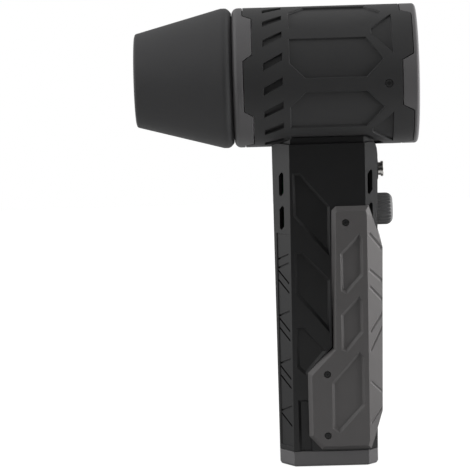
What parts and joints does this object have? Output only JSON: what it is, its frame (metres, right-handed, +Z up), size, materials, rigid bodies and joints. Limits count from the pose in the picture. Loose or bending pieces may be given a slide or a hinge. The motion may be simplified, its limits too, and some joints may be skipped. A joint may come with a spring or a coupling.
{
  "type": "cordless car dryer blower",
  "caption": "Hand-held battery air blower with a push-on cone nozzle, axial fan barrel, armoured grip, speed knob and push button.",
  "frame": {"origin": "middle of the underside of the base cap, on the floor it stands on", "axes": "+Z up along the handle to the barrel, -X the way the air leaves the nozzle, +X the intake and the controls"},
  "size_m": [0.1477, 0.0732, 0.2446],
  "materials": {
    "nozzle_black": "soft matte",
    "sleeve_black": "fine texture",
    "shell_black": "fine texture",
    "housing_grey": "satin",
    "cover_grey": "satin",
    "knob_grey": "satin",
    "button_chrome": "polished",
    "screw_steel": "satin",
    "dark_steel": "satin black",
    "fan_aluminium": "machined",
    "copper": "enamelled wire",
    "seal_rubber": "matte",
    "inner_plastic": "moulded",
    "cell_wrap": "shrink film",
    "board_green": "solder mask",
    "capacitor_sleeve": "shrink film"
  },
  "bodies": {
    "housing": {"front_bezel": "housing_grey", "barrel_sleeve": "sleeve_black", "rear_bezel": "housing_grey", "intake_grille": "dark_steel", "fan_duct": "fan_aluminium", "tail_cone": "inner_plastic", "front_duct_seal": "seal_rubber", "rear_duct_seal": "seal_rubber", "motor_stator": "copper", "bearing_front": "screw_steel", "bearing_rear": "screw_steel", "barrel_screw_1": "screw_steel", "barrel_screw_2": "screw_steel", "barrel_screw_3": "screw_steel", "barrel_screw_4": "screw_steel", "handle_shell_left": "shell_black", "handle_shell_right": "shell_black", "rear_grip_cover": "cover_grey", "base_cap": "housing_grey", "saddle_bracket": "fan_aluminium", "saddle_screw_1": "screw_steel", "saddle_screw_2": "screw_steel", "grip_screw_left_1": "screw_steel", "grip_screw_left_2": "screw_steel", "grip_screw_left_3": "screw_steel", "grip_screw_right_1": "screw_steel", "grip_screw_right_2": "screw_steel", "grip_screw_right_3": "screw_steel", "base_screw_1": "screw_steel", "base_screw_2": "screw_steel", "base_screw_3": "screw_steel", "base_screw_4": "screw_steel", "speed_potentiometer": "inner_plastic", "potentiometer_nut": "screw_steel", "button_bezel": "button_chrome", "switch_body": "inner_plastic", "battery_cell_1": "cell_wrap", "battery_cell_2": "cell_wrap", "battery_cell_3": "cell_wrap", "battery_cell_4": "cell_wrap", "cell_holder_lower": "inner_plastic", "cell_holder_upper": "inner_plastic", "bus_bar_lower": "screw_steel", "bus_bar_upper": "screw_steel", "control_board": "board_green", "heat_sink": "fan_aluminium", "capacitor": "capacitor_sleeve", "charge_board": "board_green", "usb_c_socket": "screw_steel"},
    "fan": {"motor_shaft": "screw_steel", "motor_bell": "dark_steel", "impeller": "fan_aluminium", "spinner": "fan_aluminium"},
    "knob": {"speed_knob": "knob_grey", "potentiometer_shaft": "fan_aluminium"},
    "button": {"power_button": "button_chrome"},
    "nozzle_body": {"nozzle": "nozzle_black"}
  },
  "joints": [
    {"name": "fan_spin", "type": "hinge", "parent": "housing", "child": "fan", "pos_m": [0.0288, 0, 0.208], "axis": [1, 0, 0], "continuous": true},
    {"name": "speed_knob_turn", "type": "hinge", "parent": "housing", "child": "knob", "pos_m": [0.03, 0, 0.1358], "axis": [-1, 0, 0], "range_deg": [0, 270]},
    {"name": "power_button_press", "type": "slide", "parent": "housing", "child": "button", "axis": [-1, 0, 0], "range_m": [0, 0.0008], "stiffness_N_per_m": 1500, "springref_m": -0.0005},
    {"name": "nozzle_pull_off", "type": "slide", "parent": "housing", "child": "nozzle_body", "axis": [-1, 0, 0], "range_m": [0, 0.025]}
  ]
}
